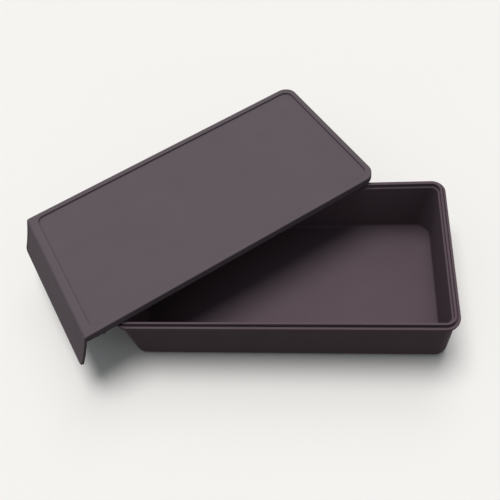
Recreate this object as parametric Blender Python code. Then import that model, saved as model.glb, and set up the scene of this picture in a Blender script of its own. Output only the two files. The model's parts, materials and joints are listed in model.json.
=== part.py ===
"""Silicone freezer tray with its lid set down askew on the rim.

Metres, +Z up. The origin is the middle of the tray's flat underside, +X runs
along the tray and +Y to its back. The lid is modelled as it lies when shut,
in a frame of its own, and that frame is turned and tilted onto the rim.
"""
import math

import bmesh
import bpy
from mathutils import Matrix, Vector

MM = 0.001

# Tray, overall
TRAY_LENGTH = 280.0 * MM
TRAY_WIDTH = 148.0 * MM
TRAY_HEIGHT = 61.0 * MM
CORNER_RADIUS = 12.0 * MM
FLOOR_THICKNESS = 3.0 * MM

# Rim section, from its outer edge inwards
BEAD_WIDTH = 2.0 * MM
BEAD_HEIGHT = 3.0 * MM
GROOVE_WIDTH = 1.25 * MM
GROOVE_DEPTH = 1.8 * MM
LIP_WIDTH = 1.8 * MM
LIP_RISE = 2.4 * MM
LEDGE_WIDTH = 1.7 * MM
LEDGE_DROP = 3.7 * MM
RIM_ROUNDING = 0.45 * MM
UNDERCUT_FILLET = 0.8 * MM

# Walls below the rim, whose corners open out towards the foot
BODY_TOP_INSET = 2.7 * MM
BODY_FOOT_INSET = 4.0 * MM
FOOT_CORNER_RADIUS = 11.5 * MM
FOOT_ROUNDING = 6.0 * MM
CAVITY_DRAFT = 2.2 * MM
CAVITY_FOOT_RADIUS = 15.0 * MM
FLOOR_FILLET = 2.5 * MM

# Steel loop moulded into the wall under the rim, and the holes of the pins that held it
WIRE_DIAMETER = 2.0 * MM
WIRE_DROP = 7.4 * MM
CLEARANCE = 0.3 * MM
WIRE_PIN_DIAMETER = 1.4 * MM
WIRE_PINS_LONG = 3
WIRE_PINS_SHORT = 2

# Lid plate
LID_OVERHANG = 7.5 * MM
LID_EDGE_ROUNDING = 0.8 * MM
PANEL_DEPTH = 1.7 * MM
PANEL_RADIUS = 8.5 * MM
PANEL_FOLD_RADIUS = 6.0 * MM
PANEL_FILLET = 0.5 * MM
BORDER_SIDE = 5.3 * MM
BORDER_END = 4.9 * MM
BORDER_FOLD = 7.9 * MM
SKIRT_THICKNESS = 2.9 * MM

# Lugs under the lid's skirts
LUG_FROM_FOLD = 14.9 * MM
LUG_WIDTH = 2.8 * MM
LUG_DROP = 2.7 * MM
LUG_THICKNESS = 0.9 * MM

# Stiffening plate inside the lid, and the holes of the pins that held it
PLATE_THICKNESS = 1.2 * MM
PLATE_SKIN_ABOVE = 0.65 * MM
PLATE_SKIN_BELOW = 0.65 * MM
PLATE_MARGIN = 8.0 * MM
PLATE_RADIUS = 8.0 * MM
PLATE_PIN_DIAMETER = 3.0 * MM
PLATE_PINS_LONG = 4
PLATE_PINS_WIDE = 2

# Pull flap across the lid's left end
FLAP_LENGTH = 38.5 * MM
FLAP_THICKNESS = 2.5 * MM
FLAP_DROOP = math.radians(64.4)
FLAP_CORNER_RADIUS = 4.5 * MM
FLAP_EDGE_ROUNDING = 1.0 * MM
FOLD_RADIUS = 3.2 * MM
FOLD_OPEN_WIDTH = 1.2 * MM

# How the lid lies on the rim
LID_CROSSING_SHARE = 0.1323
LID_CROSSING_INSET = 2.0 * MM
LID_BACK_OVERHANG = 1.4 * MM

# Fineness of curves, and what a cutter reaches past the surface it cuts
CORNER_STEPS = 9
ROUNDING_STEPS = 3
FOOT_STEPS = 7
FILLET_STEPS = 5
WIRE_SIDES = 10
CHANNEL_SIDES = 14
PIN_SIDES = 12
FOLD_SIDES = 28
SMOOTH_ANGLE = math.radians(30.0)
OVERRUN = 2.0 * MM

# Sizes that follow from those above
RIM_WIDTH = BEAD_WIDTH + GROOVE_WIDTH + LIP_WIDTH + LEDGE_WIDTH
LIP_TOP = TRAY_HEIGHT
BEAD_TOP = LIP_TOP - LIP_RISE
FLANGE_UNDERSIDE = BEAD_TOP - BEAD_HEIGHT
GROOVE_FLOOR = BEAD_TOP - GROOVE_DEPTH
LEDGE_TOP = LIP_TOP - LEDGE_DROP
CAVITY_FOOT_INSET = RIM_WIDTH + CAVITY_DRAFT
CHANNEL_DIAMETER = WIRE_DIAMETER + 2.0 * CLEARANCE
WIRE_INSET = (BODY_TOP_INSET + RIM_WIDTH) / 2.0
WIRE_HEIGHT = LIP_TOP - WIRE_DROP

PLATE_SLOT = PLATE_THICKNESS + 2.0 * CLEARANCE
PLATE_SLOT_TOP = -PANEL_DEPTH - PLATE_SKIN_ABOVE
LID_THICKNESS = PANEL_DEPTH + PLATE_SKIN_ABOVE + PLATE_SLOT + PLATE_SKIN_BELOW
LID_LENGTH = TRAY_LENGTH + LID_OVERHANG
LID_WIDTH = TRAY_WIDTH
LID_HALF_LENGTH = LID_LENGTH / 2.0
LID_HALF_WIDTH = LID_WIDTH / 2.0
SKIRT_FOOT = -(LID_THICKNESS + LIP_RISE)
FOLD_TANGENT = FOLD_RADIUS * math.tan(FLAP_DROOP / 2.0)
FOLD_X = -LID_HALF_LENGTH + FOLD_TANGENT
FLAP_REACH = FLAP_LENGTH - FOLD_TANGENT


def clear_scene():
    """Empties the scene that the script starts in."""
    for item in list(bpy.data.objects):
        bpy.data.objects.remove(item, do_unlink=True)


def material(name, colour, roughness, metallic=0.0):
    """A plain finish; colour is linear red, green and blue."""
    made = bpy.data.materials.new(name)
    made.use_nodes = True
    shader = made.node_tree.nodes["Principled BSDF"]
    shader.inputs["Base Color"].default_value = (*colour, 1.0)
    shader.inputs["Roughness"].default_value = roughness
    shader.inputs["Metallic"].default_value = metallic
    return made


def new_object(name, mesh_data, finish=None, parent=None):
    """Closes a bmesh into a named object, its faces pointing out."""
    bmesh.ops.recalc_face_normals(mesh_data, faces=mesh_data.faces)
    mesh = bpy.data.meshes.new(name)
    mesh_data.to_mesh(mesh)
    mesh_data.free()
    mesh.shade_smooth()
    mesh.set_sharp_from_angle(angle=SMOOTH_ANGLE)
    made = bpy.data.objects.new(name, mesh)
    bpy.context.scene.collection.objects.link(made)
    if finish is not None:
        mesh.materials.append(finish)
    if parent is not None:
        made.parent = parent
    return made


def as_cutter(made):
    """Marks an object as a tool that only cuts or guides."""
    made.hide_render = True
    made.display_type = "WIRE"
    return made


def boolean(made, other, operation="DIFFERENCE"):
    """Adds a live Boolean with another object."""
    step = made.modifiers.new(operation.title() + " " + other.name, "BOOLEAN")
    step.operation = operation
    step.solver = "EXACT"
    step.object = other


def arc(centre, radius, start, end, steps):
    """Points along an arc in a plane, both ends included."""
    points = []
    for step in range(steps + 1):
        angle = start + (end - start) * step / steps
        points.append((centre[0] + radius * math.cos(angle), centre[1] + radius * math.sin(angle)))
    return points


def outline(low, high, radii, steps=CORNER_STEPS):
    """A rectangle with its own radius at each corner: right front, right back, left back, left front."""
    corners = ((high[0], low[1]), (high[0], high[1]), (low[0], high[1]), (low[0], low[1]))
    inward = ((-1.0, 1.0), (-1.0, -1.0), (1.0, -1.0), (1.0, 1.0))
    points = []
    for index, (corner, way, radius) in enumerate(zip(corners, inward, radii)):
        if radius == 0.0:
            points.append(corner)
            continue
        centre = (corner[0] + way[0] * radius, corner[1] + way[1] * radius)
        start = (index - 1) * math.pi / 2.0
        points.extend(arc(centre, radius, start, start + math.pi / 2.0, steps))
    return points


def tray_outline(inset, radius):
    """The tray's plan outline, drawn in by an inset from the rim's outer edge."""
    half_length = TRAY_LENGTH / 2.0 - inset
    half_width = TRAY_WIDTH / 2.0 - inset
    return outline((-half_length, -half_width), (half_length, half_width), (radius,) * 4)


def add_ring(mesh_data, points, height):
    """One closed ring of vertices at a height."""
    return [mesh_data.verts.new((x, y, height)) for x, y in points]


def bridge(mesh_data, first, second):
    """Quads between two rings with the same number of points."""
    for index in range(len(first)):
        following = (index + 1) % len(first)
        mesh_data.faces.new((first[index], first[following], second[following], second[index]))


def prism(name, points, low, high, finish=None, parent=None):
    """A flat outline raised between two heights."""
    mesh_data = bmesh.new()
    bottom = add_ring(mesh_data, points, low)
    top = add_ring(mesh_data, points, high)
    bridge(mesh_data, bottom, top)
    mesh_data.faces.new(bottom)
    mesh_data.faces.new(top)
    return new_object(name, mesh_data, finish, parent)


def swept_loop(name, inset, height, diameter, sides, finish=None):
    """A round bar that runs once round the tray at an inset and a height."""
    mesh_data = bmesh.new()
    rings = []
    for side in range(sides):
        angle = 2.0 * math.pi * side / sides
        reach = inset + diameter / 2.0 * math.cos(angle)
        rings.append(
            add_ring(mesh_data, tray_outline(reach, CORNER_RADIUS - reach), height + diameter / 2.0 * math.sin(angle))
        )
    for side in range(sides):
        bridge(mesh_data, rings[side], rings[(side + 1) % sides])
    return new_object(name, mesh_data, finish)


def add_rod(mesh_data, start, end, diameter, sides):
    """A round rod between two points, added to a bmesh."""
    start = Vector(start)
    axis = Vector(end) - start
    turn = axis.to_track_quat("Z", "Y").to_matrix().to_4x4()
    place = Matrix.Translation(start + axis / 2.0) @ turn
    bmesh.ops.create_cone(
        mesh_data,
        cap_ends=True,
        segments=sides,
        radius1=diameter / 2.0,
        radius2=diameter / 2.0,
        depth=axis.length,
        matrix=place,
    )


def spread(count, half_span):
    """Evenly spaced places across a span, half a pitch in from its ends."""
    pitch = 2.0 * half_span / count
    return [-half_span + pitch * (index + 0.5) for index in range(count)]


def tray_section():
    """The moulding's section: inset from the rim's edge, height and plan radius, from underside to floor."""
    foot_centre = (BODY_FOOT_INSET + FOOT_ROUNDING, FOOT_ROUNDING)
    foot = []
    for inset, height in arc(foot_centre, FOOT_ROUNDING, 1.5 * math.pi, math.pi, FOOT_STEPS):
        foot.append((inset, height, FOOT_CORNER_RADIUS - (inset - BODY_FOOT_INSET)))
    undercut_centre = (BODY_TOP_INSET - UNDERCUT_FILLET, FLANGE_UNDERSIDE - UNDERCUT_FILLET)
    section = arc(undercut_centre, UNDERCUT_FILLET, 0.0, math.pi / 2.0, ROUNDING_STEPS)
    rounding = RIM_ROUNDING
    bead_centre = BEAD_TOP - rounding
    lower_centre = FLANGE_UNDERSIDE + rounding
    section += arc((rounding, lower_centre), rounding, 1.5 * math.pi, math.pi, ROUNDING_STEPS)
    section += arc((rounding, bead_centre), rounding, math.pi, math.pi / 2.0, ROUNDING_STEPS)
    section += arc((BEAD_WIDTH - rounding, bead_centre), rounding, math.pi / 2.0, 0.0, ROUNDING_STEPS)
    lip_start = BEAD_WIDTH + GROOVE_WIDTH
    groove_centre = GROOVE_FLOOR + rounding
    section += arc((BEAD_WIDTH + rounding, groove_centre), rounding, math.pi, 1.5 * math.pi, ROUNDING_STEPS)
    section += arc((lip_start - rounding, groove_centre), rounding, -math.pi / 2.0, 0.0, ROUNDING_STEPS)
    lip_end = lip_start + LIP_WIDTH
    lip_centre = LIP_TOP - rounding
    section += arc((lip_start + rounding, lip_centre), rounding, math.pi, math.pi / 2.0, ROUNDING_STEPS)
    section += arc((lip_end - rounding, lip_centre), rounding, math.pi / 2.0, 0.0, ROUNDING_STEPS)
    section += arc((lip_end + rounding, LEDGE_TOP + rounding), rounding, math.pi, 1.5 * math.pi, ROUNDING_STEPS)
    section += arc((RIM_WIDTH - rounding, LEDGE_TOP - rounding), rounding, math.pi / 2.0, 0.0, ROUNDING_STEPS)
    rim = [(inset, height, CORNER_RADIUS - inset) for inset, height in section]
    fillet_centre = (CAVITY_FOOT_INSET + FLOOR_FILLET, FLOOR_THICKNESS + FLOOR_FILLET)
    floor = []
    for inset, height in arc(fillet_centre, FLOOR_FILLET, math.pi, 1.5 * math.pi, FILLET_STEPS):
        floor.append((inset, height, CAVITY_FOOT_RADIUS - (inset - CAVITY_FOOT_INSET)))
    return foot + rim + floor


def make_tray_body(finish):
    """The soft tray: one moulding with a bead, a groove and a lip round its rim."""
    mesh_data = bmesh.new()
    rings = []
    for inset, height, radius in tray_section():
        rings.append(add_ring(mesh_data, tray_outline(inset, radius), height))
    for lower, upper in zip(rings, rings[1:]):
        bridge(mesh_data, lower, upper)
    mesh_data.faces.new(rings[0])
    mesh_data.faces.new(rings[-1])
    tray = new_object("tray_body", mesh_data, finish)
    channel = swept_loop("wire_channel_cutter", WIRE_INSET, WIRE_HEIGHT, CHANNEL_DIAMETER, CHANNEL_SIDES)
    boolean(tray, as_cutter(channel))
    boolean(tray, as_cutter(wire_pin_holes()))
    return tray


def wire_pin_holes():
    """Holes up under the rim where the mould's pins held the steel loop."""
    mesh_data = bmesh.new()
    half_length = TRAY_LENGTH / 2.0
    half_width = TRAY_WIDTH / 2.0
    for side in (-1.0, 1.0):
        for x in spread(WIRE_PINS_LONG, half_length - CORNER_RADIUS):
            inner = (x, side * (half_width - WIRE_INSET), WIRE_HEIGHT)
            outer = (x, side * (half_width - BODY_TOP_INSET + OVERRUN), WIRE_HEIGHT)
            add_rod(mesh_data, inner, outer, WIRE_PIN_DIAMETER, PIN_SIDES)
        for y in spread(WIRE_PINS_SHORT, half_width - CORNER_RADIUS):
            inner = (side * (half_length - WIRE_INSET), y, WIRE_HEIGHT)
            outer = (side * (half_length - BODY_TOP_INSET + OVERRUN), y, WIRE_HEIGHT)
            add_rod(mesh_data, inner, outer, WIRE_PIN_DIAMETER, PIN_SIDES)
    return new_object("wire_pin_cutter", mesh_data)


def make_rim_wire(finish):
    """The steel loop that keeps the soft rim straight."""
    return swept_loop("rim_wire", WIRE_INSET, WIRE_HEIGHT, WIRE_DIAMETER, WIRE_SIDES, finish)


def lid_turn():
    """The angle the lid is turned by: its front edge crosses the tray's left front corner and clears the back rim."""
    along = LID_LENGTH * (1.0 - LID_CROSSING_SHARE)
    across = -(SKIRT_THICKNESS + LID_CROSSING_INSET)
    rise = TRAY_WIDTH + LID_BACK_OVERHANG - CORNER_RADIUS
    return math.asin(rise / math.hypot(along, across)) - math.atan2(across, along)


def make_lid_frame():
    """The empty that carries the lid: origin over the middle of the lid, level with its top face."""
    turn = lid_turn()
    length_way = Vector((math.cos(turn), math.sin(turn)))
    width_way = Vector((-math.sin(turn), math.cos(turn)))
    corner_x = TRAY_LENGTH / 2.0 - CORNER_RADIUS
    corner_y = TRAY_WIDTH / 2.0 - CORNER_RADIUS
    front_corner = Vector((-corner_x, -corner_y))
    back_corner = Vector((-corner_x, corner_y))
    crossing = -LID_HALF_LENGTH + LID_LENGTH * LID_CROSSING_SHARE
    front_line = LID_HALF_WIDTH - SKIRT_THICKNESS
    crossing_width = -front_line + LID_CROSSING_INSET
    middle = front_corner - crossing * length_way - crossing_width * width_way
    lip_radius = CORNER_RADIUS - BEAD_WIDTH - GROOVE_WIDTH
    back_line = (back_corner - middle).dot(width_way) + lip_radius
    slope = LIP_RISE / (front_line + back_line)
    height = LIP_TOP + CLEARANCE + LID_THICKNESS + back_line * slope
    frame = bpy.data.objects.new("lid_frame", None)
    bpy.context.scene.collection.objects.link(frame)
    frame.location = (middle.x, middle.y, height)
    frame.rotation_euler = (-math.atan(slope), 0.0, turn)
    return frame


def lid_plan(inset_end, inset_side, inset_fold, radii):
    """An outline in the lid's plane, drawn in from its right end, its sides and its fold."""
    low = (-LID_HALF_LENGTH + inset_fold, -LID_HALF_WIDTH + inset_side)
    high = (LID_HALF_LENGTH - inset_end, LID_HALF_WIDTH - inset_side)
    return outline(low, high, radii)


def lid_cutters(frame):
    """The hollows of the lid, in the order they are cut."""
    fold_end = FOLD_TANGENT + FOLD_OPEN_WIDTH
    rib_face = LID_OVERHANG
    inner_radius = CORNER_RADIUS - SKIRT_THICKNESS
    panel_radii = (PANEL_RADIUS, PANEL_RADIUS, PANEL_FOLD_RADIUS, PANEL_FOLD_RADIUS)
    panel = prism(
        "panel_cutter",
        lid_plan(BORDER_END, BORDER_SIDE, BORDER_FOLD, panel_radii),
        -PANEL_DEPTH,
        OVERRUN,
        parent=frame,
    )
    rounding = panel.modifiers.new("Floor fillet", "BEVEL")
    rounding.width = PANEL_FILLET
    rounding.segments = ROUNDING_STEPS
    rounding.limit_method = "ANGLE"
    rounding.angle_limit = math.radians(60.0)
    underside = prism(
        "underside_cutter",
        lid_plan(SKIRT_THICKNESS, SKIRT_THICKNESS, rib_face + SKIRT_THICKNESS, (inner_radius,) * 4),
        SKIRT_FOOT - OVERRUN,
        -LID_THICKNESS,
        parent=frame,
    )
    fold_pocket = prism(
        "fold_pocket_cutter",
        outline(
            (-LID_HALF_LENGTH + fold_end - OVERRUN, -LID_HALF_WIDTH + SKIRT_THICKNESS),
            (-LID_HALF_LENGTH + rib_face, LID_HALF_WIDTH - SKIRT_THICKNESS),
            (0.0,) * 4,
        ),
        SKIRT_FOOT - OVERRUN,
        -LID_THICKNESS,
        parent=frame,
    )
    seat_data = bmesh.new()
    add_rod(
        seat_data,
        (FOLD_X, -LID_HALF_WIDTH - OVERRUN, -FOLD_RADIUS),
        (FOLD_X, LID_HALF_WIDTH + OVERRUN, -FOLD_RADIUS),
        2.0 * (FOLD_RADIUS + CLEARANCE),
        FOLD_SIDES,
    )
    seat = new_object("fold_seat_cutter", seat_data, parent=frame)
    slot = prism(
        "plate_slot_cutter",
        plate_outline(0.0),
        PLATE_SLOT_TOP - PLATE_SLOT,
        PLATE_SLOT_TOP,
        parent=frame,
    )
    pin_data = bmesh.new()
    for x in spread(PLATE_PINS_LONG, LID_HALF_LENGTH - PLATE_MARGIN):
        for y in spread(PLATE_PINS_WIDE, LID_HALF_WIDTH - PLATE_MARGIN):
            top = PLATE_SLOT_TOP - PLATE_SLOT / 2.0
            add_rod(pin_data, (x, y, top), (x, y, SKIRT_FOOT), PLATE_PIN_DIAMETER, PIN_SIDES)
    pins = new_object("plate_pin_cutter", pin_data, parent=frame)
    return [as_cutter(made) for made in (panel, underside, fold_pocket, seat, slot, pins)]


def plate_outline(gap):
    """The stiffening plate's outline, drawn in all round by a gap."""
    inset = PLATE_MARGIN + gap
    fold_inset = LID_OVERHANG + SKIRT_THICKNESS + gap
    return lid_plan(inset, inset, fold_inset, (PLATE_RADIUS - gap,) * 4)


def make_lid_cover(finish, frame):
    """The soft lid: raised border, sunk panel, and a skirt that sits on the bead when the lid is shut."""
    fold_end = FOLD_TANGENT + FOLD_OPEN_WIDTH
    radii = (CORNER_RADIUS, CORNER_RADIUS, 0.0, 0.0)
    cover = prism("lid_cover", lid_plan(0.0, 0.0, fold_end, radii), SKIRT_FOOT, 0.0, finish, frame)
    rounding = cover.modifiers.new("Outer edges", "BEVEL")
    rounding.width = LID_EDGE_ROUNDING
    rounding.segments = ROUNDING_STEPS
    rounding.limit_method = "ANGLE"
    rounding.angle_limit = math.radians(60.0)
    for cutter in lid_cutters(frame):
        boolean(cover, cutter)
    boolean(cover, as_cutter(make_lugs(frame)), "UNION")
    return cover


def make_lugs(frame):
    """A small rounded lug under each side skirt, near the fold."""
    mesh_data = bmesh.new()
    middle = -LID_HALF_LENGTH + LUG_FROM_FOLD
    half = LUG_WIDTH / 2.0
    centre = (middle, SKIRT_FOOT - LUG_DROP + half)
    profile = [(middle + half, SKIRT_FOOT + LUG_THICKNESS)]
    profile += arc(centre, half, 0.0, -math.pi, 2 * ROUNDING_STEPS)
    profile.append((middle - half, SKIRT_FOOT + LUG_THICKNESS))
    faces = LID_HALF_WIDTH - LID_EDGE_ROUNDING
    for side in (-1.0, 1.0):
        near = [mesh_data.verts.new((x, side * faces, z)) for x, z in profile]
        far = [mesh_data.verts.new((x, side * (faces - LUG_THICKNESS), z)) for x, z in profile]
        bridge(mesh_data, near, far)
        mesh_data.faces.new(near)
        mesh_data.faces.new(far)
    return new_object("lug_tool", mesh_data, parent=frame)


def make_lid_stiffener(finish, frame):
    """The thin plate that keeps the soft lid flat."""
    top = PLATE_SLOT_TOP - CLEARANCE
    return prism("lid_stiffener", plate_outline(CLEARANCE), top - PLATE_THICKNESS, top, finish, frame)


def flap_profile(reach):
    """The flap's section square to the fold, with its origin on the fold's axis and the flap straight."""
    rounding = FLAP_EDGE_ROUNDING
    inner_face = FOLD_RADIUS - FLAP_THICKNESS
    meet = math.asin(inner_face / FOLD_RADIUS)
    profile = arc((0.0, 0.0), FOLD_RADIUS, math.pi / 2.0, -math.pi - meet, FOLD_SIDES)
    profile += arc((-reach + rounding, inner_face + rounding), rounding, -math.pi / 2.0, -math.pi, ROUNDING_STEPS)
    profile += arc((-reach + rounding, FOLD_RADIUS - rounding), rounding, math.pi, math.pi / 2.0, ROUNDING_STEPS)
    return profile


def make_lid_pull_flap(finish, frame):
    """The full-width flap that is lifted to peel the lid off; its root is round so that it turns at the fold."""
    mesh_data = bmesh.new()
    straight = LID_HALF_WIDTH - FLAP_CORNER_RADIUS
    turns = arc((0.0, 0.0), FLAP_CORNER_RADIUS, 0.0, math.pi / 2.0, CORNER_STEPS)
    stations = [(straight + across, FLAP_CORNER_RADIUS - along) for along, across in turns]
    stations = [(-y, short) for y, short in reversed(stations)] + stations
    sections = []
    for y, short in stations:
        profile = flap_profile(FLAP_REACH - short)
        sections.append([mesh_data.verts.new((x, y, z)) for x, z in profile])
    for first, second in zip(sections, sections[1:]):
        bridge(mesh_data, first, second)
    mesh_data.faces.new(sections[0])
    mesh_data.faces.new(sections[-1])
    flap = new_object("lid_pull_flap", mesh_data, finish, frame)
    flap.location = (FOLD_X, 0.0, -FOLD_RADIUS)
    flap.rotation_euler = (0.0, -FLAP_DROOP, 0.0)
    return flap


def main():
    """Builds the tray, its steel loop, and the lid with its plate and flap."""
    clear_scene()
    silicone = material("tray_silicone", (0.0889, 0.0716, 0.0773), 0.62)
    lid_silicone = material("lid_silicone", (0.0998, 0.0802, 0.0865), 0.62)
    steel = material("rim_wire_steel", (0.52, 0.51, 0.50), 0.35, 1.0)
    plate_plastic = material("stiffener_polypropylene", (0.55, 0.55, 0.52), 0.5)
    make_tray_body(silicone)
    make_rim_wire(steel)
    frame = make_lid_frame()
    make_lid_cover(lid_silicone, frame)
    make_lid_stiffener(plate_plastic, frame)
    make_lid_pull_flap(lid_silicone, frame)


main()
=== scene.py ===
"""A soft freezer tray and its lid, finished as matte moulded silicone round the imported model.

The tray is modelled where it stands. The lid is modelled flat, in a frame whose X runs
from its fold to its free end and whose Z leaves its top face, and is then laid on the rim
where the fold's hinge says. Lengths are in metres.
"""
import json
import math

import bmesh
import bpy
from mathutils import Matrix, Vector


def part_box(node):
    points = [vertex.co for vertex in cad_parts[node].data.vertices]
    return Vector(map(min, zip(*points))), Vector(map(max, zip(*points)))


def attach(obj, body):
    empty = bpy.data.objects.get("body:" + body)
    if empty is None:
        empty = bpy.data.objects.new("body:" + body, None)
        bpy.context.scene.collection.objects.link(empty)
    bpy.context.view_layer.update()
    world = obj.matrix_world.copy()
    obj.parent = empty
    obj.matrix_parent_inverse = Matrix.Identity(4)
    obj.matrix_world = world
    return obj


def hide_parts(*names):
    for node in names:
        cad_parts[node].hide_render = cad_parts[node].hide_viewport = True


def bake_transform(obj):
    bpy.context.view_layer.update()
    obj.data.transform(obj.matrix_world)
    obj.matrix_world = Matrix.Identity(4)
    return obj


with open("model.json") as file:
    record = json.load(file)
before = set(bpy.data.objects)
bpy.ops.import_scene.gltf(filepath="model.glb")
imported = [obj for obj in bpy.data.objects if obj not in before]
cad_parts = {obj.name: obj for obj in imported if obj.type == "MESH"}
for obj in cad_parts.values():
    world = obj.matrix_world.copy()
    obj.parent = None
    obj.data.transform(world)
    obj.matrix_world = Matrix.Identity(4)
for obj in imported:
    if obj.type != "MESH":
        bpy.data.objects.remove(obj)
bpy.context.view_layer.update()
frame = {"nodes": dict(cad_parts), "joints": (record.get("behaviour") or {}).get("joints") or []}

bl_info = {
    "name": "Silicone freezer tray",
    "version": (1, 0, 0),
    "blender": (4, 5, 0),
    "location": "View3D > Sidebar > Freezer tray",
    "description": "Models and finishes a silicone freezer tray, its lid and the stage under them",
    "category": "Object",
}

TRAY_LOW, TRAY_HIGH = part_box("tray_body")
LID_HINGE = next(joint for joint in frame["joints"] if joint["name"] == "flap_bend")
MM = 0.001
# Places that lie closer than this are one place
TOUCH = 0.01 * MM
# A gap between faces that must not meet, and a looser test of place
HAIR = 10.0 * TOUCH

# Facets along each rounding
CORNER_STEPS = 16
FLOOR_STEPS = 6
FOOT_STEPS = 10
EDGE_STEPS = 4
LID_EDGE_STEPS = 5
PANEL_STEPS = 3
FOLD_STEPS = 12
FLAP_CORNER_STEPS = 10
LUG_STEPS = 8
ROD_SIDES = 24
# The flap flares in two runs from the fold to the tip: each run's share of the flare, and its facets
FLARE_RUNS = ((0.16, 2), (0.84, 5))

# The least angle between the faces at a clear corner, and at a nearly square one, in radians
CLEAR_CORNER = math.radians(50.0)
SQUARE_CORNER = 1.0
# Below this angle an edge is shaded smooth
SMOOTH_CORNER = math.radians(35.0)
# A face looks a way when the cosine of the angle between them is above this
FACING = 0.98

# Mould pins in each row, under the wire and under the stiffener
WIRE_PINS_LONG = 3
WIRE_PINS_SHORT = 2
PLATE_PINS_LONG = 4
PLATE_PINS_WIDE = 2

# The lens is measured for a picture this wide, in millimetres as Blender has it
PICTURE_WIDTH = 36.0
# The camera draws nothing nearer than this
NEAREST_SEEN = 10.0 * MM
LAMP_HEIGHT = 2.0
# Cool light from the room, as linear red, green, blue and alpha
ROOM_LIGHT = (0.9, 0.95, 1.0, 1.0)


class TraySizes(bpy.types.PropertyGroup):
    """The tray's section, from the outer edge of its rim inwards."""

    length: bpy.props.FloatProperty(
        name="Length", description="Rim, end to end", default=TRAY_HIGH.x - TRAY_LOW.x, unit="LENGTH"
    )
    width: bpy.props.FloatProperty(
        name="Width", description="Rim, side to side", default=TRAY_HIGH.y - TRAY_LOW.y, unit="LENGTH"
    )
    height: bpy.props.FloatProperty(
        name="Height", description="Table to the top of the lip", default=TRAY_HIGH.z, unit="LENGTH"
    )
    corner: bpy.props.FloatProperty(
        name="Corner", description="Radius of the rim's outer corners",
        default=12.0 * MM, unit="LENGTH",
    )
    bead_width: bpy.props.FloatProperty(
        name="Bead width", description="Flat bead along the rim's edge",
        default=2.0 * MM, unit="LENGTH",
    )
    bead_height: bpy.props.FloatProperty(
        name="Bead height", description="Depth of the rim's outer edge",
        default=3.0 * MM, unit="LENGTH",
    )
    groove_width: bpy.props.FloatProperty(
        name="Groove width", description="Groove between bead and lip",
        default=1.25 * MM, unit="LENGTH",
    )
    groove_depth: bpy.props.FloatProperty(
        name="Groove depth", description="Groove floor below the bead",
        default=1.8 * MM, unit="LENGTH",
    )
    lip_width: bpy.props.FloatProperty(
        name="Lip width", description="Raised lip inside the groove", default=1.8 * MM, unit="LENGTH"
    )
    lip_rise: bpy.props.FloatProperty(
        name="Lip rise", description="Lip above the bead", default=2.4 * MM, unit="LENGTH"
    )
    ledge_width: bpy.props.FloatProperty(
        name="Ledge width", description="Low ledge inside the lip", default=1.7 * MM, unit="LENGTH"
    )
    ledge_drop: bpy.props.FloatProperty(
        name="Ledge drop", description="Ledge below the lip", default=3.7 * MM, unit="LENGTH"
    )
    edge_rounding: bpy.props.FloatProperty(
        name="Edge rounding", description="Rounding of the rim's edges",
        default=0.45 * MM, unit="LENGTH",
    )
    undercut_fillet: bpy.props.FloatProperty(
        name="Undercut fillet", description="Fillet under the flange", default=0.8 * MM, unit="LENGTH"
    )
    wall_top_inset: bpy.props.FloatProperty(
        name="Wall inset, top", description="Outer wall inside the rim's edge, at the flange",
        default=2.7 * MM, unit="LENGTH",
    )
    wall_foot_inset: bpy.props.FloatProperty(
        name="Wall inset, foot", description="Outer wall inside the rim's edge, at the foot",
        default=4.0 * MM, unit="LENGTH",
    )
    foot_corner: bpy.props.FloatProperty(
        name="Foot corner", description="Radius of the outer corners at the foot",
        default=11.5 * MM, unit="LENGTH",
    )
    foot_rounding: bpy.props.FloatProperty(
        name="Foot rounding", description="Rounding between wall and underside",
        default=6.0 * MM, unit="LENGTH",
    )
    floor_thickness: bpy.props.FloatProperty(
        name="Floor", description="Thickness of the floor", default=3.0 * MM, unit="LENGTH"
    )
    cavity_draft: bpy.props.FloatProperty(
        name="Draft", description="How far the inner wall leans in to the floor",
        default=2.2 * MM, unit="LENGTH",
    )
    floor_corner: bpy.props.FloatProperty(
        name="Floor corner", description="Radius of the inner corners at the floor",
        default=15.0 * MM, unit="LENGTH",
    )
    floor_fillet: bpy.props.FloatProperty(
        name="Floor fillet", description="Fillet between inner wall and floor",
        default=2.5 * MM, unit="LENGTH",
    )
    wire_clearance: bpy.props.FloatProperty(
        name="Wire clearance", description="Channel wider than the steel loop, all round",
        default=0.3 * MM, unit="LENGTH",
    )
    wire_pin: bpy.props.FloatProperty(
        name="Wire pin", description="Diameter of the mould pins that held the loop",
        default=1.4 * MM, unit="LENGTH",
    )


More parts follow.
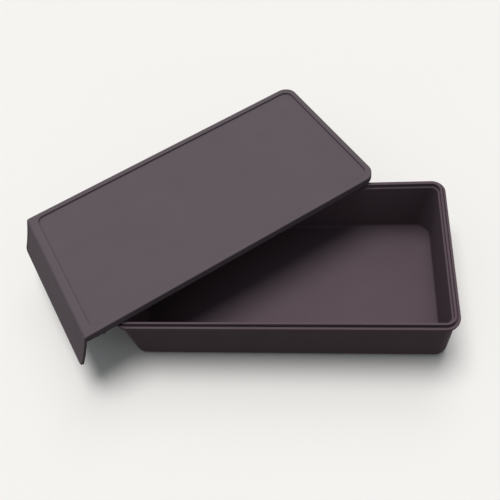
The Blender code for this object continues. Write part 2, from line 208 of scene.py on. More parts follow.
class LidSizes(bpy.types.PropertyGroup):
    """The lid's plate, its skirt, its sunk panel and the flap that folds down from its end."""

    overhang: bpy.props.FloatProperty(
        name="Overhang", description="How much longer the lid is than the rim",
        default=7.5 * MM, unit="LENGTH",
    )
    thickness: bpy.props.FloatProperty(
        name="Thickness", description="Plate inside the skirt", default=4.8 * MM, unit="LENGTH"
    )
    skirt: bpy.props.FloatProperty(
        name="Skirt", description="Thickness of the skirt round the edges",
        default=2.9 * MM, unit="LENGTH",
    )
    edge_rounding: bpy.props.FloatProperty(
        name="Edge rounding", description="Rounding of the outer edges",
        default=0.8 * MM, unit="LENGTH",
    )
    panel_depth: bpy.props.FloatProperty(
        name="Panel depth", description="Panel below the border", default=1.7 * MM, unit="LENGTH"
    )
    panel_corner: bpy.props.FloatProperty(
        name="Panel corner", description="Radius of the panel's corners, free end",
        default=8.5 * MM, unit="LENGTH",
    )
    panel_fold_corner: bpy.props.FloatProperty(
        name="Panel corner, fold", description="Radius of the panel's corners beside the fold",
        default=6.0 * MM, unit="LENGTH",
    )
    panel_fillet: bpy.props.FloatProperty(
        name="Panel fillet", description="Fillet at the foot of the step",
        default=0.5 * MM, unit="LENGTH",
    )
    panel_rounding: bpy.props.FloatProperty(
        name="Panel rounding", description="Rounding of the step down to the panel",
        default=0.3 * MM, unit="LENGTH",
    )
    border_side: bpy.props.FloatProperty(
        name="Side border", description="Raised border along the sides",
        default=5.3 * MM, unit="LENGTH",
    )
    border_end: bpy.props.FloatProperty(
        name="End border", description="Raised border at the free end",
        default=4.9 * MM, unit="LENGTH",
    )
    border_fold: bpy.props.FloatProperty(
        name="Fold border", description="Raised border beside the fold",
        default=7.9 * MM, unit="LENGTH",
    )
    flap_length: bpy.props.FloatProperty(
        name="Flap length", description="From the corner of the fold to the tip",
        default=38.5 * MM, unit="LENGTH",
    )
    flap_thickness: bpy.props.FloatProperty(
        name="Flap thickness", description="Thickness of the flap and fold",
        default=2.5 * MM, unit="LENGTH",
    )
    flap_droop: bpy.props.FloatProperty(
        name="Flap droop", description="How far the flap hangs below the plate",
        default=math.radians(64.4), subtype="ANGLE",
    )
    flap_corner: bpy.props.FloatProperty(
        name="Flap corner", description="Radius of the flap's two corners",
        default=4.5 * MM, unit="LENGTH",
    )
    fold_radius: bpy.props.FloatProperty(
        name="Fold radius", description="Outer radius of the fold", default=3.2 * MM, unit="LENGTH"
    )
    fold_open: bpy.props.FloatProperty(
        name="Fold opening", description="Thin stretch of plate before the fold",
        default=1.2 * MM, unit="LENGTH",
    )
    flap_flare: bpy.props.FloatProperty(
        name="Flap flare", description="How much the flap curves outward, from fold to tip",
        default=math.radians(8.0), subtype="ANGLE",
    )
    flap_bead: bpy.props.FloatProperty(
        name="Flap border", description="Flat border round the flap's free edges",
        default=1.6 * MM, unit="LENGTH",
    )
    flap_sink: bpy.props.FloatProperty(
        name="Flap sink", description="Flap's face below its border", default=0.35 * MM, unit="LENGTH"
    )
    web_inset: bpy.props.FloatProperty(
        name="Web inset", description="Corner webs inside the skirt's faces",
        default=0.27 * MM, unit="LENGTH",
    )
    slot_margin: bpy.props.FloatProperty(
        name="Slot margin", description="Lid's edges to the slot for the stiffener",
        default=8.0 * MM, unit="LENGTH",
    )
    slot_top: bpy.props.FloatProperty(
        name="Slot top", description="Height of the slot's ceiling, from the lid's top face",
        default=-2.35 * MM, unit="LENGTH",
    )
    slot_depth: bpy.props.FloatProperty(
        name="Slot depth", description="Floor to ceiling of the slot", default=1.8 * MM, unit="LENGTH"
    )
    pin: bpy.props.FloatProperty(
        name="Pin", description="Diameter of the mould pins under the stiffener",
        default=3.0 * MM, unit="LENGTH",
    )
    lug_place: bpy.props.FloatProperty(
        name="Lug place", description="From the fold's corner to the lugs",
        default=14.9 * MM, unit="LENGTH",
    )
    lug_width: bpy.props.FloatProperty(
        name="Lug width", description="Lug, along the lid", default=2.8 * MM, unit="LENGTH"
    )
    lug_drop: bpy.props.FloatProperty(
        name="Lug drop", description="Lug below the skirt", default=2.7 * MM, unit="LENGTH"
    )
    lug_thickness: bpy.props.FloatProperty(
        name="Lug thickness", description="Lug, across the lid", default=0.9 * MM, unit="LENGTH"
    )


class Finishes(bpy.types.PropertyGroup):
    """Colours of the mouldings, as written on a colour chart."""

    tray_colour: bpy.props.StringProperty(
        name="Tray", description="Pigment of the tray's silicone, sRGB hex", default="594C52"
    )
    lid_colour: bpy.props.StringProperty(
        name="Lid", description="Pigment of the lid's silicone, sRGB hex", default="5A5156"
    )
    steel_colour: bpy.props.StringProperty(
        name="Wire", description="Drawn stainless steel, sRGB hex", default="C2C0BD"
    )
    plate_colour: bpy.props.StringProperty(
        name="Stiffener", description="Natural polypropylene, sRGB hex", default="D6D6D0"
    )
    floor_colour: bpy.props.StringProperty(
        name="Floor", description="Pale table top, sRGB hex", default="F1EEEA"
    )
    bounce_colour: bpy.props.StringProperty(
        name="Bounce", description="What the table top throws back on the object, sRGB hex",
        default="464442",
    )


class StageSettings(bpy.types.PropertyGroup):
    """Camera, light and floor."""

    camera_place: bpy.props.FloatVectorProperty(
        name="Camera", description="Where the lens is",
        default=(49.35 * MM, -301.04 * MM, 517.30 * MM), subtype="TRANSLATION", unit="LENGTH",
    )
    camera_heading: bpy.props.FloatProperty(
        name="Heading", description="Turn to the left, from straight across the tray",
        default=math.radians(12.883), subtype="ANGLE",
    )
    camera_dip: bpy.props.FloatProperty(
        name="Dip", description="Tilt below the horizon",
        default=math.radians(55.894), subtype="ANGLE",
    )
    camera_roll: bpy.props.FloatProperty(
        name="Roll", description="Turn of the picture", default=math.radians(11.361), subtype="ANGLE"
    )
    lens: bpy.props.FloatProperty(
        name="Lens", description="Focal length for a 36 mm picture", default=46.208, unit="CAMERA"
    )
    lens_shift: bpy.props.FloatProperty(
        name="Shift", description="Sideways shift, as a share of the picture", default=-0.024
    )
    floor_size: bpy.props.FloatProperty(
        name="Floor size", description="Side of the table top", default=12.0, unit="LENGTH"
    )


def linear(hex_colour):
    """An sRGB hex colour as linear red, green, blue and alpha, by the curve of that standard."""
    shares = [int(hex_colour[place:place + 2], 16) / 255.0 for place in (0, 2, 4)]
    curved = [share / 12.92 if share <= 0.04045 else ((share + 0.055) / 1.055) ** 2.4 for share in shares]
    return (*curved, 1.0)


def tinted(colour, red, green, blue):
    """A linear colour with its red, green and blue each scaled."""
    return (colour[0] * red, colour[1] * green, colour[2] * blue, 1.0)


def add_node(tree, kind, settings=None, inputs=None, links=None):
    """A shader node with its settings, its constant inputs and the sockets that feed it."""
    node = tree.nodes.new(kind)
    for name, value in (settings or {}).items():
        setattr(node, name, value)
    for socket, value in (inputs or {}).items():
        node.inputs[socket].default_value = value
    for socket, source in (links or {}).items():
        tree.links.new(source, node.inputs[socket])
    return node


def new_material(name):
    """An empty material with its Principled shader and its tree."""
    made = bpy.data.materials.new(name)
    made.use_nodes = True
    return made, made.node_tree, made.node_tree.nodes["Principled BSDF"]


def pattern_scale(size):
    """A noise scale that gives features of a real size."""
    return 1.0 / size


def moulded_silicone(name, hex_colour):
    """Pigmented silicone rubber from a spark-eroded mould: a dead matte skin with a soft, wide sheen."""
    made, tree, shader = new_material(name)
    place = add_node(tree, "ShaderNodeTexCoord").outputs["Object"]
    # Uneven pigment and skin, in clouds some 40 mm wide, which the eye sees as a faint mottle.
    clouds = add_node(
        tree, "ShaderNodeTexNoise", links={"Vector": place},
        inputs={"Scale": pattern_scale(40.0 * MM), "Detail": 3.0, "Roughness": 0.55},
    )
    shade = linear(hex_colour)
    tint = add_node(tree, "ShaderNodeValToRGB", links={"Fac": clouds.outputs["Fac"]})
    tint.color_ramp.elements[0].position = 0.3
    tint.color_ramp.elements[0].color = tinted(shade, 0.98, 0.975, 0.98)
    tint.color_ramp.elements[1].position = 0.7
    tint.color_ramp.elements[1].color = tinted(shade, 1.02, 1.025, 1.02)
    tree.links.new(tint.outputs["Color"], shader.inputs["Base Color"])
    # The mould's spark grain is about 0.1 mm; it is drawn at 0.9 mm, the finest that the picture holds.
    grain = add_node(
        tree, "ShaderNodeTexNoise", links={"Vector": place},
        inputs={"Scale": pattern_scale(0.9 * MM), "Detail": 2.0, "Roughness": 0.6},
    )
    bump = add_node(
        tree, "ShaderNodeBump", links={"Height": grain.outputs["Fac"]},
        inputs={"Strength": 0.25, "Distance": 0.02 * MM},
    )
    tree.links.new(bump.outputs["Normal"], shader.inputs["Normal"])
    # Handling polishes the skin a little in patches about 15 mm wide.
    patches = add_node(
        tree, "ShaderNodeTexNoise", links={"Vector": place},
        inputs={"Scale": pattern_scale(15.0 * MM), "Detail": 4.0},
    )
    gloss = add_node(
        tree, "ShaderNodeMapRange", links={"Value": patches.outputs["Fac"]},
        inputs={"From Min": 0.35, "From Max": 0.65, "To Min": 0.76, "To Max": 0.81},
    )
    tree.links.new(gloss.outputs["Result"], shader.inputs["Roughness"])
    shader.inputs["IOR"].default_value = 1.41
    shader.inputs["Specular IOR Level"].default_value = 0.2
    return made


def drawn_steel(name, hex_colour):
    """Stainless wire, drawn through a die: fine scratches along it blur what it reflects."""
    made, tree, shader = new_material(name)
    place = add_node(tree, "ShaderNodeTexCoord").outputs["Object"]
    # Die lines are hundredths of a millimetre wide; drawn at 0.3 mm so that they show at all.
    lines = add_node(
        tree, "ShaderNodeTexNoise", links={"Vector": place},
        inputs={"Scale": pattern_scale(0.3 * MM), "Detail": 2.0},
    )
    gloss = add_node(
        tree, "ShaderNodeMapRange", links={"Value": lines.outputs["Fac"]},
        inputs={"To Min": 0.25, "To Max": 0.42},
    )
    tree.links.new(gloss.outputs["Result"], shader.inputs["Roughness"])
    shader.inputs["Base Color"].default_value = linear(hex_colour)
    shader.inputs["Metallic"].default_value = 1.0
    return made


def rolled_polypropylene(name, hex_colour):
    """Undyed polypropylene sheet, off a chill roll: milky, with a waxy sheen."""
    made, tree, shader = new_material(name)
    place = add_node(tree, "ShaderNodeTexCoord").outputs["Object"]
    # Cloudiness of the sheet, some 12 mm across.
    clouds = add_node(
        tree, "ShaderNodeTexNoise", links={"Vector": place},
        inputs={"Scale": pattern_scale(12.0 * MM), "Detail": 3.0},
    )
    shade = linear(hex_colour)
    tint = add_node(tree, "ShaderNodeValToRGB", links={"Fac": clouds.outputs["Fac"]})
    tint.color_ramp.elements[0].color = tinted(shade, 0.92, 0.92, 0.90)
    tint.color_ramp.elements[1].color = shade
    tree.links.new(tint.outputs["Color"], shader.inputs["Base Color"])
    shader.inputs["Roughness"].default_value = 0.42
    shader.inputs["IOR"].default_value = 1.49
    return made


def edit():
    """Starts edit mode on the active piece."""
    bpy.ops.object.mode_set(mode="EDIT")


def done():
    """Ends edit mode."""
    bpy.ops.object.mode_set(mode="OBJECT")


def pick(kind, test):
    """Selects, in edit mode, the vertices, edges or faces that pass a test of their place."""
    bpy.ops.mesh.select_mode(type=kind)
    bpy.ops.mesh.select_all(action="DESELECT")
    shape = bmesh.from_edit_mesh(bpy.context.edit_object.data)
    items = {"VERT": shape.verts, "EDGE": shape.edges, "FACE": shape.faces}[kind]
    for item in items:
        if test(item):
            item.select_set(True)
    bmesh.update_edit_mesh(bpy.context.edit_object.data)


def at_level(height):
    """True for an edge or face that lies flat at a height."""
    return lambda item: all(abs(corner.co.z - height) < TOUCH for corner in item.verts)


def across_at(place):
    """True for an edge or face that stands across the piece at a place along X."""
    return lambda item: all(abs(corner.co.x - place) < TOUCH for corner in item.verts)


def ends_level(edge, axis):
    """True for an edge whose two ends lie at one place along an axis."""
    first, second = edge.verts
    return abs(getattr(first.co, axis) - getattr(second.co, axis)) < TOUCH


def creased(low, high):
    """True for an edge between two heights whose faces meet at a clear angle."""
    def test(edge):
        inside = all(low - TOUCH < corner.co.z < high + TOUCH for corner in edge.verts)
        return inside and len(edge.link_faces) == 2 and edge.calc_face_angle() > CLEAR_CORNER
    return test


def shift_selected(x=0.0, z=0.0):
    """Extrudes what is selected, by a distance along X or Z."""
    bpy.ops.mesh.extrude_region_move(TRANSFORM_OT_translate={"value": (x, 0.0, z)})


def round_selected(width, segments, affect="EDGES"):
    """Rounds the selected edges or vertices."""
    bpy.ops.mesh.bevel(offset=width, segments=segments, affect=affect)


def box(name, low, high):
    """A plain box between two corners, with its place in its mesh."""
    bpy.ops.object.select_all(action="DESELECT")
    low, high = Vector(low), Vector(high)
    bpy.ops.mesh.primitive_cube_add(size=1.0, location=(low + high) / 2.0, scale=high - low)
    bpy.ops.object.transform_apply(location=True, rotation=True, scale=True)
    piece = bpy.context.object
    piece.name = name
    return piece


def round_upright(test, radius):
    """Rounds the upright edges whose place along X passes a test, in edit mode."""
    pick("EDGE", lambda edge: ends_level(edge, "x") and ends_level(edge, "y") and test(edge.verts[0].co.x))
    round_selected(radius, CORNER_STEPS)


def add_modifier(piece, kind, **settings):
    """Adds a modifier to a piece and applies it."""
    bpy.ops.object.select_all(action="DESELECT")
    piece.select_set(True)
    bpy.context.view_layer.objects.active = piece
    bpy.ops.object.modifier_add(type=kind)
    step = piece.modifiers[-1]
    for name, value in settings.items():
        setattr(step, name, value)
    bpy.ops.object.modifier_apply(modifier=step.name)


def cut(piece, tool, operation="DIFFERENCE"):
    """Cuts a piece with a tool, or joins the tool to it, and removes the tool."""
    add_modifier(piece, "BOOLEAN", operation=operation, solver="EXACT", object=tool)
    bpy.data.objects.remove(tool, do_unlink=True)


def smooth(piece):
    """Shades a piece smooth up to its sharp edges, with flat faces kept flat."""
    bpy.ops.object.select_all(action="DESELECT")
    piece.select_set(True)
    bpy.context.view_layer.objects.active = piece
    bpy.ops.object.shade_smooth_by_angle(angle=SMOOTH_CORNER)
    add_modifier(piece, "WEIGHTED_NORMAL", keep_sharp=True)


def plate_ring(half_length, half_width, height, radius, open_loop):
    """Closes an open loop with a rounded plate at another height and a wall between, in edit mode."""
    bpy.ops.mesh.primitive_plane_add(size=2.0, location=(0.0, 0.0, height))
    bpy.ops.transform.resize(value=(half_length, half_width, 1.0))
    round_selected(radius, CORNER_STEPS, "VERTICES")
    outline = at_level(height)
    rim = at_level(open_loop)
    pick("EDGE", lambda edge: outline(edge) or (rim(edge) and edge.is_boundary))
    bpy.ops.mesh.bridge_edge_loops()


def wire_channel(clearance):
    """A tool for the channel that the steel loop lies in, a clearance larger than the loop."""
    bpy.ops.object.select_all(action="DESELECT")
    tool = frame["nodes"]["rim_wire"].copy()
    tool.data = tool.data.copy()
    tool.parent = None
    bpy.context.scene.collection.objects.link(tool)
    tool.select_set(True)
    bpy.context.view_layer.objects.active = tool
    edit()
    bpy.ops.mesh.select_all(action="SELECT")
    bpy.ops.mesh.remove_doubles(threshold=TOUCH)
    bpy.ops.transform.shrink_fatten(value=clearance)
    done()
    return tool


def wire_pins(half_length, half_width, tray):
    """A tool for the holes that the mould's pins leave, from the loop straight out below the flange."""
    low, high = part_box("rim_wire")
    height = (low.z + high.z) / 2.0
    along, across = high.x - tray.wire_pin, high.y - tray.wire_pin
    holes = []
    for side in (-1.0, 1.0):
        for x in spread(WIRE_PINS_LONG, half_length - tray.corner):
            holes.append(((x, side * across, height), (x, side * half_width, height)))
        for y in spread(WIRE_PINS_SHORT, half_width - tray.corner):
            holes.append(((side * along, y, height), (side * half_length, y, height)))
    return rods("wire_pin_tool", holes, tray.wire_pin)


class TRAY_OT_moulding(bpy.types.Operator):
    """Models the tray: a beaded, grooved and lipped rim over drafted walls and a flat floor."""

    bl_idname = "tray.moulding"
    bl_label = "Tray moulding"

    def execute(self, context):
        tray = context.scene.tray_sizes
        half_length, half_width = tray.length / 2.0, tray.width / 2.0
        bead_top = tray.height - tray.lip_rise
        underside = bead_top - tray.bead_height
        ledge = tray.height - tray.ledge_drop
        rim = tray.bead_width + tray.groove_width + tray.lip_width + tray.ledge_width
        piece = box(
            "tray_moulding", (-half_length, -half_width, underside), (half_length, half_width, bead_top)
        )
        edit()
        round_upright(lambda x: True, tray.corner)
        # The rim's top, from the bead inwards
        pick("FACE", at_level(bead_top))
        bpy.ops.mesh.inset(thickness=tray.bead_width)
        shift_selected(z=-tray.groove_depth)
        bpy.ops.mesh.inset(thickness=tray.groove_width)
        shift_selected(z=tray.groove_depth + tray.lip_rise)
        bpy.ops.mesh.inset(thickness=tray.lip_width)
        shift_selected(z=-tray.ledge_drop)
        bpy.ops.mesh.inset(thickness=tray.ledge_width)
        bpy.ops.mesh.delete(type="ONLY_FACE")
        # The cavity, down to the floor
        inset = rim + tray.cavity_draft
        plate_ring(half_length - inset, half_width - inset, tray.floor_thickness, tray.floor_corner, ledge)
        # The outer wall, down to the foot
        pick("FACE", at_level(underside))
        bpy.ops.mesh.inset(thickness=tray.wall_top_inset)
        bpy.ops.mesh.delete(type="ONLY_FACE")
        inset = tray.wall_foot_inset
        plate_ring(half_length - inset, half_width - inset, 0.0, tray.foot_corner, underside)
        bpy.ops.mesh.select_all(action="SELECT")
        bpy.ops.mesh.normals_make_consistent(inside=False)
        # Roundings, from the floor up to the rim's edges
        pick("EDGE", at_level(tray.floor_thickness))
        round_selected(tray.floor_fillet, FLOOR_STEPS)
        pick("EDGE", at_level(0.0))
        round_selected(tray.foot_rounding, FOOT_STEPS)
        wall_x = half_length - tray.wall_top_inset + TOUCH
        wall_y = half_width - tray.wall_top_inset + TOUCH
        pick("EDGE", lambda edge: at_level(underside)(edge) and edge.calc_face_angle() > SQUARE_CORNER
             and all(abs(corner.co.x) < wall_x and abs(corner.co.y) < wall_y for corner in edge.verts))
        round_selected(tray.undercut_fillet, EDGE_STEPS)
        pick("EDGE", creased(underside, tray.height))
        round_selected(tray.edge_rounding, EDGE_STEPS)
        done()
        cut(piece, wire_channel(tray.wire_clearance))
        cut(piece, wire_pins(half_length, half_width, tray))
        smooth(piece)
        colour = context.scene.finishes.tray_colour
        piece.data.materials.append(moulded_silicone("Tray silicone", colour))
        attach(piece, "tray")
        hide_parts("tray_body")
        return {"FINISHED"}


def lid_place():
    """The lid's frame where it lies on the rim, from the hinge at its fold."""
    lid = bpy.context.scene.lid_sizes
    width_way = Vector(LID_HINGE["axis"]).normalized()
    length_way = Vector((width_way.y, -width_way.x, 0.0)).normalized()
    up = length_way.cross(width_way)
    hinge = Vector(LID_HINGE["pos_m"])
    origin = hinge - length_way * fold_start() + up * lid.fold_radius
    turn = Matrix((length_way, width_way, up)).transposed()
    return Matrix.Translation(origin) @ turn.to_4x4()


def lid_half_sizes():
    """Half the lid's length, from its free end to the corner of the fold, and half its width."""
    tray = bpy.context.scene.tray_sizes
    return (tray.length + bpy.context.scene.lid_sizes.overhang) / 2.0, tray.width / 2.0


def fold_start():
    """Where the plate ends and the fold's curve starts, along the lid."""
    lid = bpy.context.scene.lid_sizes
    return -lid_half_sizes()[0] + lid.fold_radius * math.tan(lid.flap_droop / 2.0)


def spread(count, half):
    """Places in a row between two ends, half a pitch in from each end."""
    pitch = 2.0 * half / count
    return [-half + pitch * (number + 0.5) for number in range(count)]


def rods(name, ends, diameter):
    """Round bars between pairs of points, as one tool."""
    bpy.ops.object.select_all(action="DESELECT")
    made = []
    for first, second in ends:
        first, second = Vector(first), Vector(second)
        way = second - first
        bpy.ops.mesh.primitive_cylinder_add(
            vertices=ROD_SIDES, radius=diameter / 2.0, depth=way.length, location=(first + second) / 2.0,
            rotation=way.to_track_quat("Z", "Y").to_euler(),
        )
        made.append(bpy.context.object)
    for rod in made:
        rod.select_set(True)
    bpy.context.view_layer.objects.active = made[0]
    bpy.ops.object.join()
    bpy.ops.object.transform_apply(location=True, rotation=True, scale=True)
    tool = bpy.context.object
    tool.name = name
    return tool


def rounded_box(name, low, high, low_radius, high_radius, foot_rounding=0.0):
    """A tool with upright edges rounded at the low and the high end of X, and its foot too if asked."""
    tool = box(name, low, high)
    middle = (low[0] + high[0]) / 2.0
    edit()
    round_upright(lambda x: x < middle, low_radius)
    round_upright(lambda x: x > middle, high_radius)
    if foot_rounding:
        pick("EDGE", at_level(low[2]))
        round_selected(foot_rounding, EDGE_STEPS)
    done()
    return tool


def flap_way(angle):
    """The way down the flap, and the way out of its face, where it hangs at an angle."""
    down = Vector((-math.cos(angle), 0.0, -math.sin(angle)))
    return down, Vector((-math.sin(angle), 0.0, math.cos(angle)))


class TRAY_OT_lid(bpy.types.Operator):
    """Models the lid: a bordered plate with a skirt, a sunk panel and a flap folded down at one end."""

    bl_idname = "tray.lid"
    bl_label = "Lid moulding"

    def execute(self, context):
        lid = context.scene.lid_sizes
        tray = context.scene.tray_sizes
        half_length, half_width = lid_half_sizes()
        skirt_foot = -(lid.thickness + tray.lip_rise)
        start = fold_start()
        plate_end = start + lid.fold_open
        rib = -half_length + lid.overhang
        piece = box("lid_moulding", (plate_end, -half_width, skirt_foot), (half_length, half_width, 0.0))
        edit()
        round_upright(lambda x: x > 0.0, tray.corner)
        # The pocket that fits over the tray's lip, and the rib across its end
        pick("FACE", at_level(skirt_foot))
        bpy.ops.mesh.bisect(plane_co=(rib, 0.0, 0.0), plane_no=(1.0, 0.0, 0.0))
        pick("FACE", lambda face: at_level(skirt_foot)(face) and face.calc_center_median().x > rib)
        bpy.ops.mesh.inset(thickness=lid.skirt)
        shift_selected(z=tray.lip_rise)
        inside = rib + lid.skirt
        round_upright(lambda x: abs(x - inside) < TOUCH, tray.corner - lid.skirt)
        self.pull_out_flap(start, plate_end, -half_length)
        pick("EDGE", creased(-lid.flap_length, 0.0))
        round_selected(lid.edge_rounding, LID_EDGE_STEPS)
        self.sink_flap_face(start, half_width)
        done()
        self.add_lugs(piece, half_length, half_width, skirt_foot)
        self.join_webs(piece, half_width, skirt_foot)
        self.hollow_out(piece, half_length, half_width, skirt_foot)
        place = lid_place()
        piece.matrix_world = place
        bpy.ops.object.transform_apply(location=True, rotation=True, scale=True)
        smooth(piece)
        colour = context.scene.finishes.lid_colour
        piece.data.materials.append(moulded_silicone("Lid silicone", colour))
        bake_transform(piece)
        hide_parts("lid_cover", "lid_pull_flap")
        return {"FINISHED"}

    def pull_out_flap(self, start, plate_end, corner_x):
        """Pulls the thin stretch, the fold and the slightly flared flap out of the plate's end."""
        lid = bpy.context.scene.lid_sizes
        at_end = across_at(plate_end)
        pick("FACE", at_end)
        bpy.ops.mesh.bisect(plane_co=(0.0, 0.0, -lid.flap_thickness), plane_no=(0.0, 0.0, 1.0))
        pick("FACE", lambda face: at_end(face) and face.calc_center_median().z > -lid.flap_thickness)
        shift_selected(x=-lid.fold_open)
        steepest = lid.flap_droop + lid.flap_flare / 2.0
        axis = Vector((start, 0.0, -lid.fold_radius))
        bpy.ops.mesh.spin(steps=FOLD_STEPS, angle=steepest, center=axis, axis=(0.0, 1.0, 0.0))
        reach = lid.flap_length - (start - corner_x)
        radius = reach / (2.0 * math.sin(lid.flap_flare / 2.0))
        root = axis + flap_way(steepest)[1] * lid.fold_radius
        centre = root + flap_way(steepest)[1] * radius
        for share, steps in FLARE_RUNS:
            angle = lid.flap_flare * share
            bpy.ops.mesh.spin(steps=steps, angle=angle, center=centre, axis=(0.0, -1.0, 0.0))
        down = flap_way(lid.flap_droop - lid.flap_flare / 2.0)[0]
        tip = root + flap_way(lid.flap_droop)[0] * reach
        pick("EDGE", lambda edge: ends_level(edge, "y")
             and all(abs((corner.co - tip).dot(down)) < TOUCH for corner in edge.verts))
        round_selected(lid.flap_corner, FLAP_CORNER_STEPS)

    def sink_flap_face(self, start, half_width):
        """Sinks the flap's outer face inside a flat border; the sunk face fades in at the fold."""
        lid = bpy.context.scene.lid_sizes
        steepest = lid.flap_droop + lid.flap_flare / 2.0
        down, out = flap_way(steepest)
        root = Vector((start, 0.0, -lid.fold_radius)) + out * lid.fold_radius
        pick("FACE", lambda face: face.normal.dot(out) > FACING
             and abs(face.calc_center_median().y) < TOUCH
             and (face.calc_center_median() - root).dot(down) > TOUCH)
        bpy.ops.mesh.inset(thickness=lid.flap_bead)
        bpy.ops.mesh.inset(thickness=lid.flap_sink / 2.0, depth=-lid.flap_sink)
        inside = half_width - lid.edge_rounding - lid.flap_bead
        pick("VERT", lambda corner: abs(abs(corner.co.y) - inside) < TOUCH
             and abs((corner.co - root).dot(down) - lid.flap_bead) < HAIR)
        bpy.ops.transform.translate(value=-out * lid.flap_sink)

    def add_lugs(self, piece, half_length, half_width, skirt_foot):
        """Adds a small round-ended lug under the skirt, on either side near the fold."""
        lid = bpy.context.scene.lid_sizes
        middle = -half_length + lid.lug_place
        for side in (-1.0, 1.0):
            outer = side * (half_width - lid.edge_rounding - HAIR)
            inner = outer - side * lid.lug_thickness
            low = (middle - lid.lug_width / 2.0, min(inner, outer), skirt_foot - lid.lug_drop)
            high = (middle + lid.lug_width / 2.0, max(inner, outer), skirt_foot + lid.lug_thickness)
            lug = box("lug_tool", low, high)
            edit()
            pick("EDGE", lambda edge: at_level(low[2])(edge) and ends_level(edge, "x"))
            round_selected(lid.lug_width / 2.0 - TOUCH, LUG_STEPS)
            done()
            cut(piece, lug, "UNION")

    def join_webs(self, piece, half_width, skirt_foot):
        """Joins the skirt's ends to the flap behind the fold, with a small web at each corner."""
        lid = bpy.context.scene.lid_sizes
        start = fold_start()
        inside_flap = lid.flap_thickness / 2.0
        foot = skirt_foot + lid.web_inset
        down, out = flap_way(lid.flap_droop + lid.flap_flare / 2.0)
        middle = Vector((start, 0.0, -lid.fold_radius)) + out * (lid.fold_radius - inside_flap)
        tip = middle + down * ((foot - middle.z) / down.z)
        for side in (-1.0, 1.0):
            outer = side * (half_width - lid.web_inset)
            inner = side * (half_width - lid.skirt + lid.web_inset)
            low = (start + lid.web_inset, min(inner, outer), foot)
            high = (start + lid.fold_open + 2.0 * lid.edge_rounding, max(inner, outer), -inside_flap)
            web = box("web_tool", low, high)
            edit()
            pick("EDGE", lambda edge: at_level(foot)(edge) and across_at(low[0])(edge))
            bpy.ops.transform.translate(value=(tip.x - low[0], 0.0, 0.0))
            done()
            cut(piece, web, "UNION")

    def hollow_out(self, piece, half_length, half_width, skirt_foot):
        """Cuts the sunk panel, the pocket behind the fold, the stiffener's slot and its pins' holes."""
        lid = bpy.context.scene.lid_sizes
        overrun = lid.skirt
        panel_low = (-half_length + lid.border_fold, -half_width + lid.border_side, -lid.panel_depth)
        panel_high = (half_length - lid.border_end, half_width - lid.border_side, overrun)
        cut(piece, rounded_box(
            "panel_tool", panel_low, panel_high, lid.panel_fold_corner, lid.panel_corner, lid.panel_fillet
        ))
        rib = -half_length + lid.overhang
        inside = half_width - lid.skirt
        pocket_low = (fold_start() - lid.fold_open, -inside, skirt_foot - overrun)
        cut(piece, box("pocket_tool", pocket_low, (rib, inside, -lid.thickness)))
        slot_side = half_width - lid.slot_margin
        slot_low = (rib + lid.skirt, -slot_side, lid.slot_top - lid.slot_depth)
        slot_high = (half_length - lid.slot_margin, slot_side, lid.slot_top)
        cut(piece, rounded_box("slot_tool", slot_low, slot_high, lid.slot_margin, lid.slot_margin))
        middle = lid.slot_top - lid.slot_depth / 2.0
        holes = [((x, y, middle), (x, y, skirt_foot))
                 for x in spread(PLATE_PINS_LONG, half_length - lid.slot_margin)
                 for y in spread(PLATE_PINS_WIDE, slot_side)]
        cut(piece, rods("pin_tool", holes, lid.pin))
        bpy.context.view_layer.objects.active = piece
        edit()
        bpy.ops.mesh.select_all(action="SELECT")
        bpy.ops.mesh.remove_doubles(threshold=TOUCH)
        pick("EDGE", lambda edge: at_level(0.0)(edge) and edge.is_manifold
             and edge.calc_face_angle() > SQUARE_CORNER)
        round_selected(lid.panel_rounding, PANEL_STEPS)
        done()


class TRAY_OT_inserts(bpy.types.Operator):
    """Finishes the steel loop in the rim and the stiffener in the lid."""

    bl_idname = "tray.inserts"
    bl_label = "Wire and stiffener"

    def execute(self, context):
        colours = context.scene.finishes
        finishes = {
            "rim_wire": drawn_steel("Drawn stainless steel", colours.steel_colour),
            "lid_stiffener": rolled_polypropylene("Polypropylene sheet", colours.plate_colour),
        }
        for name, finish in finishes.items():
            frame["nodes"][name].material_slots[0].material = finish
        return {"FINISHED"}


class TRAY_OT_stage(bpy.types.Operator):
    """Sets the table top, the light and the camera."""

    bl_idname = "tray.stage"
    bl_label = "Stage"

    def execute(self, context):
        scene = context.scene
        stage = scene.stage_settings
        bpy.ops.object.select_all(action="DESELECT")
        bpy.ops.mesh.primitive_plane_add(size=stage.floor_size, location=(0.0, 0.0, 0.0))
        floor = context.object
        floor.name = "table_top"
        floor.data.materials.append(table_top(
            "Table top", scene.finishes.floor_colour, scene.finishes.bounce_colour
        ))
        softbox("Overhead softbox", lean=-10.0, side=-5.0, width=34.0, energy=2.2)
        softbox("Back softbox", lean=-40.0, side=10.0, width=34.0, energy=0.5)
        sky(scene)
        bpy.ops.object.camera_add(location=stage.camera_place)
        camera = context.object
        turn = (
            Matrix.Rotation(stage.camera_heading, 3, "Z")
            @ Matrix.Rotation(math.pi / 2.0 - stage.camera_dip, 3, "X")
            @ Matrix.Rotation(-stage.camera_roll, 3, "Z")
        )
        camera.rotation_euler = turn.to_euler()
        camera.data.lens = stage.lens
        camera.data.sensor_width = PICTURE_WIDTH
        camera.data.shift_x = stage.lens_shift
        camera.data.clip_start = NEAREST_SEEN
        scene.camera = camera
        scene.view_settings.view_transform = "Standard"
        return {"FINISHED"}


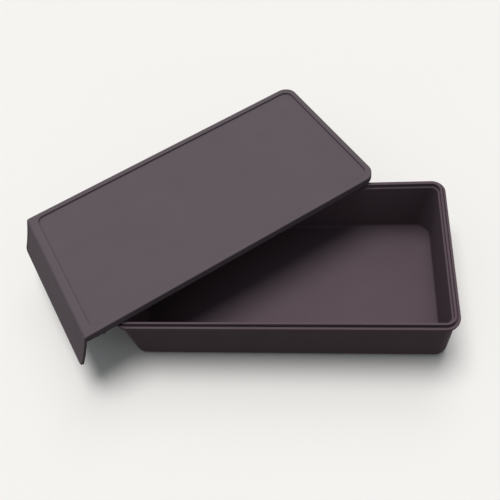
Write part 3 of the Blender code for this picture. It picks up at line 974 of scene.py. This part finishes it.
def softbox(name, lean, side, width, energy):
    """A far-off soft lamp; its lean to the front, turn to the right and apparent width are in degrees."""
    bpy.ops.object.light_add(type="SUN", location=(0.0, 0.0, LAMP_HEIGHT))
    lamp = bpy.context.object
    lamp.name = name
    lamp.rotation_euler = (math.radians(lean), math.radians(side), 0.0)
    lamp.data.angle = math.radians(width)
    lamp.data.energy = energy


def seen_rays(tree):
    """One for rays that show a thing, straight or in metal or glass, and none for other rays."""
    rays = add_node(tree, "ShaderNodeLightPath")
    shown = add_node(
        tree, "ShaderNodeMath", settings={"operation": "ADD"},
        links={0: rays.outputs["Is Camera Ray"], 1: rays.outputs["Is Glossy Ray"]},
    )
    return add_node(
        tree, "ShaderNodeMath", settings={"operation": "ADD", "use_clamp": True},
        links={0: shown.outputs[0], 1: rays.outputs["Is Transmission Ray"]},
    ).outputs[0]


def table_top(name, hex_colour, bounce_hex):
    """A painted table top: a dead matte, pale warm white that throws back less light than it shows."""
    made, tree, shader = new_material(name)
    place = add_node(tree, "ShaderNodeTexCoord").outputs["Object"]
    # Faint roller marks, some 200 mm across.
    marks = add_node(
        tree, "ShaderNodeTexNoise", links={"Vector": place},
        inputs={"Scale": pattern_scale(200.0 * MM), "Detail": 2.0},
    )
    shade = linear(hex_colour)
    tint = add_node(tree, "ShaderNodeValToRGB", links={"Fac": marks.outputs["Fac"]})
    tint.color_ramp.elements[0].color = tinted(shade, 0.99, 0.99, 0.99)
    tint.color_ramp.elements[1].color = shade
    mixed = add_node(
        tree, "ShaderNodeMix", settings={"data_type": "RGBA"}, inputs={6: linear(bounce_hex)},
        links={0: seen_rays(tree), 7: tint.outputs["Color"]},
    )
    tree.links.new(mixed.outputs[2], shader.inputs["Base Color"])
    shader.inputs["Roughness"].default_value = 0.95
    shader.inputs["Specular IOR Level"].default_value = 0.0
    return made


def sky(scene):
    """Dim room light for the object; past the table top the camera sees the same pale colour."""
    world = bpy.data.worlds.new("Studio")
    scene.world = world
    world.use_nodes = True
    tree = world.node_tree
    tree.nodes.clear()
    room = add_node(tree, "ShaderNodeBackground", inputs={"Color": ROOM_LIGHT, "Strength": 0.27})
    pale = linear(scene.finishes.floor_colour)
    seen = add_node(tree, "ShaderNodeBackground", inputs={"Color": pale, "Strength": 1.0})
    mixed = add_node(
        tree, "ShaderNodeMixShader", links={0: seen_rays(tree), 1: room.outputs[0], 2: seen.outputs[0]}
    )
    add_node(tree, "ShaderNodeOutputWorld", links={"Surface": mixed.outputs[0]})


class TRAY_PT_panel(bpy.types.Panel):
    """Lists the steps in the sidebar, in the order they run."""

    bl_idname = "TRAY_PT_panel"
    bl_label = "Silicone freezer tray"
    bl_space_type = "VIEW_3D"
    bl_region_type = "UI"
    bl_category = "Freezer tray"

    def draw(self, context):
        for step in STEPS:
            self.layout.operator(step.bl_idname)


STEPS = (TRAY_OT_moulding, TRAY_OT_lid, TRAY_OT_inserts, TRAY_OT_stage)
GROUPS = {
    "tray_sizes": TraySizes,
    "lid_sizes": LidSizes,
    "finishes": Finishes,
    "stage_settings": StageSettings,
}


def register():
    """Adds the classes and their settings to Blender."""
    for made in (*GROUPS.values(), *STEPS, TRAY_PT_panel):
        bpy.utils.register_class(made)
    for name, group in GROUPS.items():
        setattr(bpy.types.Scene, name, bpy.props.PointerProperty(type=group))


def unregister():
    """Takes the classes and their settings out of Blender."""
    for name in GROUPS:
        delattr(bpy.types.Scene, name)
    for made in reversed((*GROUPS.values(), *STEPS, TRAY_PT_panel)):
        bpy.utils.unregister_class(made)


def main():
    """Builds the object and its stage."""
    register()
    bpy.ops.tray.moulding()
    bpy.ops.tray.lid()
    bpy.ops.tray.inserts()
    bpy.ops.tray.stage()


if __name__ == "__main__":
    main()
